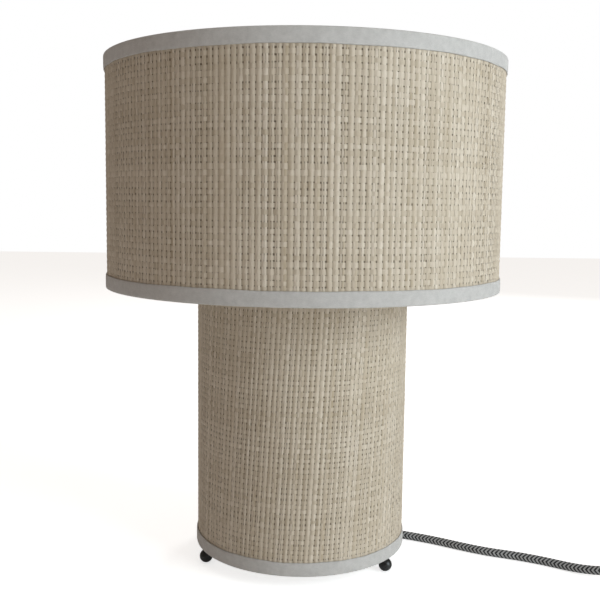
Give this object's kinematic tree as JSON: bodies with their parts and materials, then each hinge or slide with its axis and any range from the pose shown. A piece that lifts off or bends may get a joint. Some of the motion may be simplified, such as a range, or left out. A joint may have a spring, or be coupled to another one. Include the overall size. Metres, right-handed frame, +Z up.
{
  "type": "table lamp",
  "caption": "Table lamp with a drum shade over a narrower drum base, both woven raffia with tape edges, on ball feet, with a braided cord, in-line switch and plug.",
  "frame": {"origin": "on the table, under the middle of the lamp", "axes": "+Z up, -Y towards the front, +X to the right, where the cord leaves"},
  "size_m": [0.5098, 0.302, 0.3792],
  "materials": {
    "raffia": "open basket weave of natural raffia",
    "liner": "matt translucent sheet",
    "tape": "grey-beige cotton tape",
    "black_foot": "satin black",
    "white_wire": "white powder coat",
    "zinc": "zinc plated",
    "holder_black": "moulded, matt",
    "ceramic": "glazed",
    "brass": "bright",
    "wire_insulation": "insulation",
    "bulb_glass": "opal",
    "bulb_plastic": "white",
    "bulb_insulation": "black",
    "bulb_cap": "rolled thread",
    "board": "white board",
    "aluminium_post": "plain",
    "braid": "braided, black with a pale zigzag",
    "tie": "black hook and loop band",
    "switch_black": "satin black",
    "steel_pin": "plain",
    "plug_black": "moulded, matt"
  },
  "bodies": {
    "root": {"base_bottom_ring": "white_wire", "base_bottom_spider": "white_wire", "base_liner": "liner", "base_raffia": "raffia", "base_top_ring": "white_wire", "base_top_spider": "white_wire", "base_trim_bottom": "tape", "base_trim_top": "tape", "cord_coil": "braid", "cord_grip": "holder_black", "cord_grip_screw": "zinc", "cord_lead": "braid", "cord_link": "braid", "cord_tail": "braid", "cord_tie": "tie", "foot_ball_1": "black_foot", "foot_ball_2": "black_foot", "foot_ball_3": "black_foot", "gallery_ring_lower": "holder_black", "holder_body": "holder_black", "holder_cap": "holder_black", "holder_centre_contact": "brass", "holder_core": "ceramic", "holder_grub_screw": "zinc", "holder_screw_shell": "brass", "holder_terminals": "brass", "plug_body": "plug_black", "plug_pin_left": "brass", "plug_pin_right": "brass", "plug_pin_sleeves": "plug_black", "plug_strain_relief": "plug_black", "rocker_pin": "steel_pin", "stem_cord": "braid", "stem_nuts": "zinc", "stem_tube": "zinc", "stem_washers": "zinc", "stem_wires": "wire_insulation", "switch_base": "switch_black", "switch_cover": "switch_black", "switch_screws": "zinc", "switch_terminals": "brass", "terminal_screws": "zinc"},
    "shade": {"shade_raffia": "raffia", "shade_liner": "liner", "shade_trim_top": "tape", "shade_trim_bottom": "tape", "shade_top_ring": "white_wire", "shade_bottom_ring": "white_wire", "shade_arms": "white_wire", "shade_fitter_plate": "white_wire"},
    "clamp_ring": {"gallery_ring_upper": "holder_black"},
    "bulb": {"bulb_globe": "bulb_glass", "bulb_collar": "bulb_plastic", "bulb_cap": "bulb_cap", "bulb_insulator": "bulb_insulation", "bulb_tip": "brass", "bulb_led_board": "board", "bulb_board_post": "aluminium_post"},
    "rocker": {"switch_rocker": "switch_black", "rocker_contact": "brass"}
  },
  "joints": [
    {"name": "shade_turn", "type": "hinge", "parent": "root", "child": "shade", "pos_m": [0, 0, 0.265], "axis": [0, 0, 1], "continuous": true},
    {"name": "clamp_ring_unscrew", "type": "slide", "parent": "root", "child": "clamp_ring", "axis": [0, 0, 1], "range_m": [0, 0.017]},
    {"name": "bulb_out", "type": "slide", "parent": "root", "child": "bulb", "axis": [0, 0, 1], "range_m": [0, 0.12]},
    {"name": "rocker_tip", "type": "hinge", "parent": "root", "child": "rocker", "pos_m": [0.277, -0.058, 0.0135], "axis": [0, -1, 0], "range_deg": [0, 14]}
  ]
}
